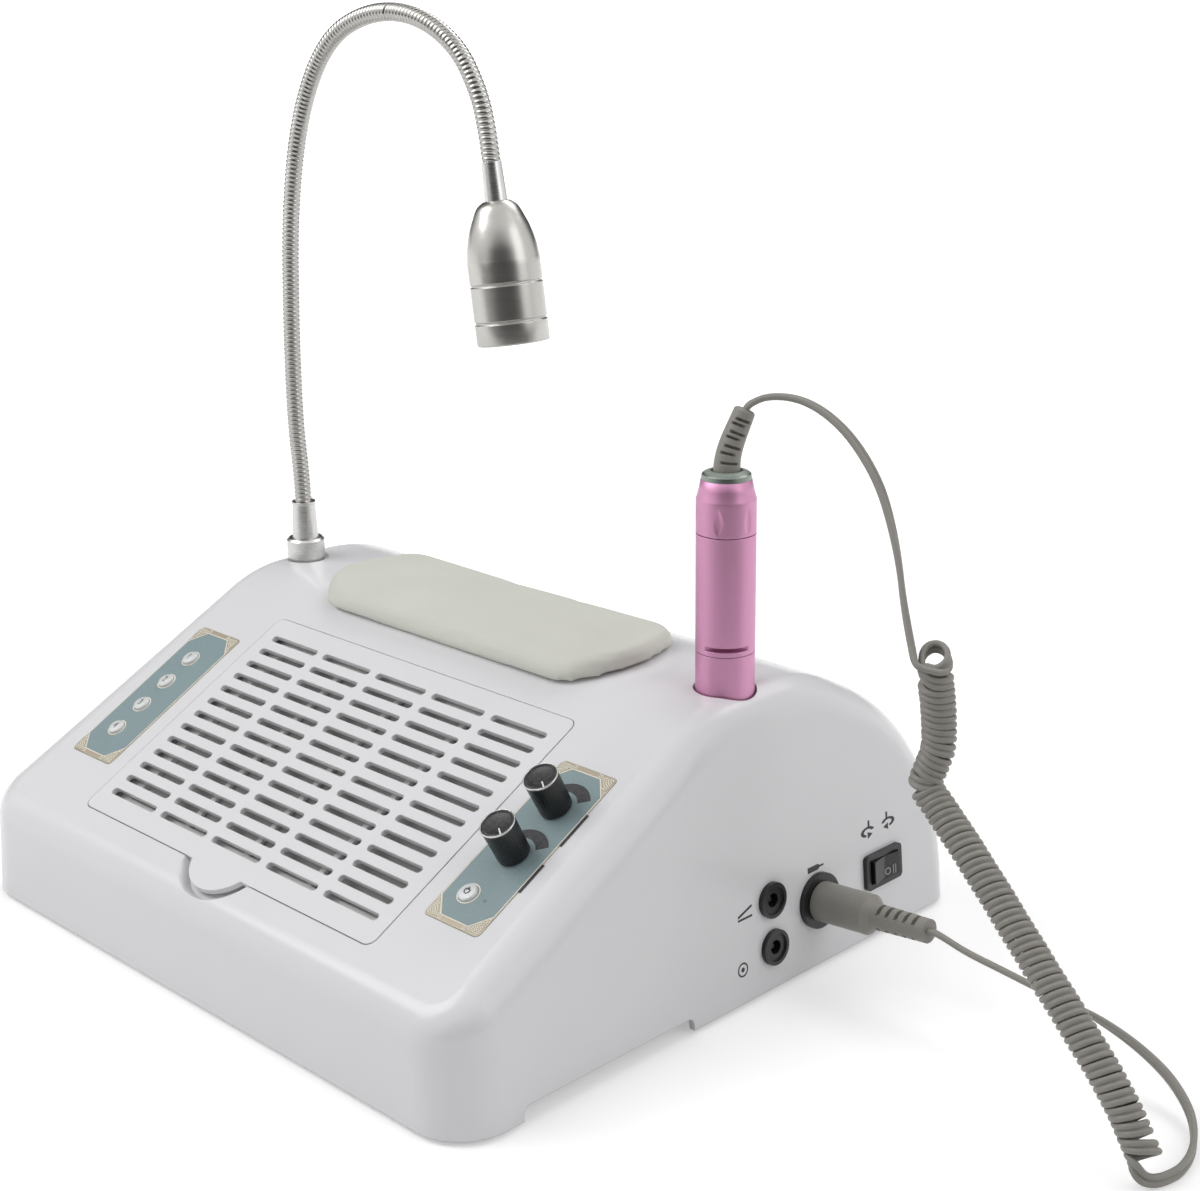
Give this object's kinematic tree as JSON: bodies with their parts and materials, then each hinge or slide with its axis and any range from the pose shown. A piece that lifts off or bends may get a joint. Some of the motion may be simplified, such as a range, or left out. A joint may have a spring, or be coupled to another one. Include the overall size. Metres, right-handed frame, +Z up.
{
  "type": "multifunction manicure machine",
  "caption": "Table-top nail dust collector with a sloped grille lid, hand rest, goose-neck lamp, control panels and a drill handpiece standing in a holder, on a curly cord",
  "frame": {"origin": "on the table, under the middle of the housing", "axes": "+X to the user's right, +Y away from the user, +Z up"},
  "size_m": [0.5061, 0.2874, 0.3762],
  "materials": {
    "housing": "glossy white ABS",
    "base": "fine satin white ABS",
    "feet": "matt black rubber",
    "screws": "zinc plated",
    "grille": "glossy white ABS",
    "filter_frame": "satin light grey",
    "filter_media": "pleated grey filter fleece",
    "tray": "satin light grey",
    "guard": "bright wire",
    "fan": "matt black",
    "stator": "varnished copper winding",
    "shaft": "ground steel",
    "panel": "printed film, steel blue field with cream corners",
    "buttons": "silvery domed caps",
    "boards": "green solder mask",
    "knobs": "black with a thin bright top ring",
    "potentiometers": "plated steel can and nut",
    "jacks": "black moulding with a bright pin",
    "socket_nuts": "nickel plated",
    "switch": "black",
    "cup": "dark grey",
    "cushion": "fine grained sage grey leatherette",
    "rest_board": "fibre board",
    "lamp_metal": "satin chrome",
    "neck": "bright wound steel goose neck",
    "lamp_head": "satin anodised",
    "led_board": "white board",
    "lens": "frosted",
    "handpiece": "pink anodised",
    "handpiece_metal": "bright turned steel",
    "cord": "matt warm grey PVC"
  },
  "bodies": {
    "housing": {"upper_housing": "housing", "base_plate": "base", "rubber_feet": "feet", "machine_screws": "screws", "filter_frame": "filter_frame", "filter_media": "filter_media", "suction_tray": "tray", "fan_guard": "guard", "fan_frame": "fan", "fan_stator": "stator", "left_panel_plate": "panel", "right_panel_plate": "panel", "left_control_board": "boards", "right_control_board": "boards", "knob_potentiometers": "potentiometers", "inlet_jacks": "jacks", "motor_socket": "jacks", "socket_nuts": "socket_nuts", "rocker_housing": "switch", "main_board": "boards", "holder_cup": "cup", "hand_rest_cushion": "cushion", "hand_rest_board": "rest_board", "lamp_collar": "lamp_metal", "lamp_nut": "socket_nuts", "lamp_lower_sleeve": "lamp_metal", "neck_root": "neck", "upper_lead": "cord", "curly_cord": "cord", "lower_lead": "cord"},
    "lamp_neck": {"neck_arch": "neck", "neck_end": "neck"},
    "lamp_head": {"lamp_upper_sleeve": "lamp_metal", "lamp_head_shell": "lamp_head", "lamp_heat_sink": "lamp_head", "lamp_led_board": "led_board", "lamp_lens": "lens"},
    "grille_lid": {"grille_lid": "grille"},
    "fan_rotor": {"fan_rotor": "fan", "fan_shaft": "shaft"},
    "mode_button_1": {"mode_button_1": "buttons"},
    "mode_button_2": {"mode_button_2": "buttons"},
    "mode_button_3": {"mode_button_3": "buttons"},
    "mode_button_4": {"mode_button_4": "buttons"},
    "start_button": {"start_button": "buttons"},
    "speed_knob": {"speed_knob": "knobs", "speed_knob_shaft": "shaft"},
    "light_knob": {"light_knob": "knobs", "light_knob_shaft": "shaft"},
    "rocker": {"rocker": "switch"},
    "handpiece": {"handpiece_body": "handpiece", "handpiece_cap": "handpiece", "handpiece_end_ring": "handpiece_metal", "handpiece_nose": "handpiece_metal", "nose_bearings": "shaft", "micro_motor": "handpiece_metal", "strain_relief": "cord"},
    "lock_sleeve": {"lock_sleeve": "handpiece"},
    "spindle": {"spindle": "shaft"},
    "motor_plug": {"motor_plug": "cord"}
  },
  "joints": [
    {"name": "lid_hinge", "type": "hinge", "parent": "housing", "child": "grille_lid", "pos_m": [0, -0.01788, 0.11023], "axis": [-1, 0, 0], "range_deg": [0, 95]},
    {"name": "fan_spin", "type": "hinge", "parent": "housing", "child": "fan_rotor", "pos_m": [0, -0.05695, 0.05504], "axis": [0, -0.4722, 0.8815], "continuous": true},
    {"name": "mode_button_1_press", "type": "slide", "parent": "housing", "child": "mode_button_1", "axis": [0, 0.4722, -0.8815], "range_m": [0, 0.0008], "stiffness_N_per_m": 800, "springref_m": -0.0004},
    {"name": "mode_button_2_press", "type": "slide", "parent": "housing", "child": "mode_button_2", "axis": [0, 0.4722, -0.8815], "range_m": [0, 0.0008], "stiffness_N_per_m": 800, "springref_m": -0.0004},
    {"name": "mode_button_3_press", "type": "slide", "parent": "housing", "child": "mode_button_3", "axis": [0, 0.4722, -0.8815], "range_m": [0, 0.0008], "stiffness_N_per_m": 800, "springref_m": -0.0004},
    {"name": "mode_button_4_press", "type": "slide", "parent": "housing", "child": "mode_button_4", "axis": [0, 0.4722, -0.8815], "range_m": [0, 0.0008], "stiffness_N_per_m": 800, "springref_m": -0.0004},
    {"name": "start_button_press", "type": "slide", "parent": "housing", "child": "start_button", "axis": [0, 0.4722, -0.8815], "range_m": [0, 0.0008], "stiffness_N_per_m": 800, "springref_m": -0.0004},
    {"name": "speed_knob_turn", "type": "hinge", "parent": "housing", "child": "speed_knob", "pos_m": [0.1187, -0.05225, 0.09159], "axis": [0, -0.4722, 0.8815], "range_deg": [-150, 150]},
    {"name": "light_knob_turn", "type": "hinge", "parent": "housing", "child": "light_knob", "pos_m": [0.1187, -0.07402, 0.07992], "axis": [0, -0.4722, 0.8815], "range_deg": [-150, 150]},
    {"name": "direction_rocker", "type": "hinge", "parent": "housing", "child": "rocker", "pos_m": [0.15653, 0.0968, 0.03021], "axis": [0.0872, 0, -0.9962], "range_deg": [-12, 12]},
    {"name": "handpiece_lift", "type": "slide", "parent": "housing", "child": "handpiece", "axis": [0, 0, 1], "range_m": [0, 0.11], "deforming": ["upper_lead"]},
    {"name": "lock_sleeve_twist", "type": "hinge", "parent": "handpiece", "child": "lock_sleeve", "pos_m": [0.1313, 0.0274, 0.11], "axis": [0, 0, 1], "range_deg": [0, 45]},
    {"name": "spindle_spin", "type": "hinge", "parent": "handpiece", "child": "spindle", "pos_m": [0.1313, 0.0274, 0.1], "axis": [0, 0, 1], "continuous": true},
    {"name": "plug_pull", "type": "slide", "parent": "housing", "child": "motor_plug", "axis": [0.9962, 0, 0.0872], "range_m": [0, 0.012], "deforming": ["lower_lead"]},
    {"name": "neck_lower_bend", "type": "hinge", "parent": "housing", "child": "lamp_neck", "pos_m": [-0.1365, 0.0274, 0.183], "axis": [1, 0, 0], "range_deg": [-15, 35], "deforming": ["neck_root"]},
    {"name": "neck_upper_bend", "type": "hinge", "parent": "lamp_neck", "child": "lamp_head", "pos_m": [-0.024, 0.0274, 0.364], "axis": [0, 1, 0], "range_deg": [-30, 30], "deforming": ["neck_end"]}
  ]
}
